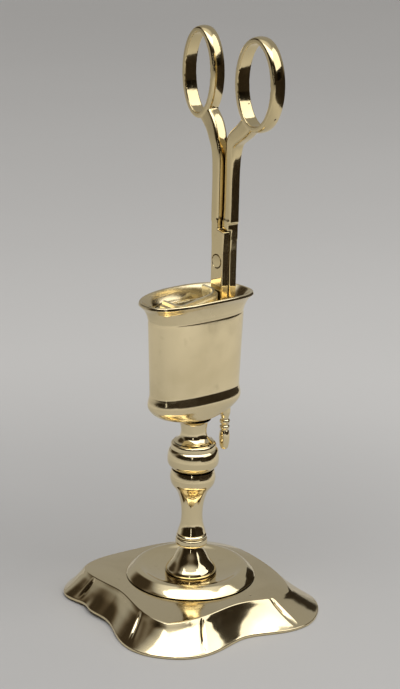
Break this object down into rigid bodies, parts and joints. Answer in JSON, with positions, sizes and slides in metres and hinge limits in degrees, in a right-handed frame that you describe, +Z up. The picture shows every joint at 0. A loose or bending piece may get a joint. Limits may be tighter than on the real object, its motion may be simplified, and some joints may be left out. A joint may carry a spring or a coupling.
{
  "type": "wick trimmer",
  "caption": "Scissor-action wick trimmer with oval finger loops, a wick box and a pressing plate, standing tip down in an oval socket on a turned stem and lobed base.",
  "frame": {"origin": "centre of the base's underside, on the axis of the stem", "axes": "+Z up along the stem; X along the long axis of the oval socket, with the trimmer at its +X end; Y across the socket, the plane Y-Z is the one the two arms open in"},
  "size_m": [0.0834, 0.0834, 0.2107],
  "materials": {
    "cast_brass": "cast, filed and polished",
    "turned_brass": "lathe turned and polished",
    "forged_brass": "filed and polished, small casting pits",
    "sheet_brass": "polished, lightly stained inside",
    "dull_brass": "unpolished",
    "steel_rod": "plain iron or steel, dulled"
  },
  "bodies": {
    "stand_body": {"base_plate": "cast_brass", "base_dome": "turned_brass", "stem_foot": "turned_brass", "stem_baluster": "turned_brass", "stem_knop": "turned_brass", "stem_neck": "turned_brass", "socket_body": "cast_brass", "tie_rod": "steel_rod", "rod_washer": "dull_brass", "rod_nut": "steel_rod", "socket_nut": "dull_brass"},
    "box_body": {"box_arm": "forged_brass", "box_wall": "sheet_brass", "box_end_plate": "sheet_brass", "tip_finial": "turned_brass", "box_rivet_lower": "dull_brass", "box_rivet_upper": "dull_brass", "pivot_rivet": "dull_brass"},
    "press_body": {"press_arm": "forged_brass", "press_plate": "sheet_brass", "press_rivet_lower": "dull_brass", "press_rivet_upper": "dull_brass"}
  },
  "joints": [
    {"name": "trimmer_lift", "type": "slide", "parent": "stand_body", "child": "box_body", "axis": [0, 0, 1], "range_m": [0, 0.2]},
    {"name": "trimmer_pivot", "type": "hinge", "parent": "box_body", "child": "press_body", "pos_m": [0.0118, 0, 0.1295], "axis": [1, 0, 0], "range_deg": [0, 30]}
  ],
  "couplings": [
    {"joint": "trimmer_pivot", "follows": "trimmer_lift", "rad_per_m": 2.6179}
  ]
}
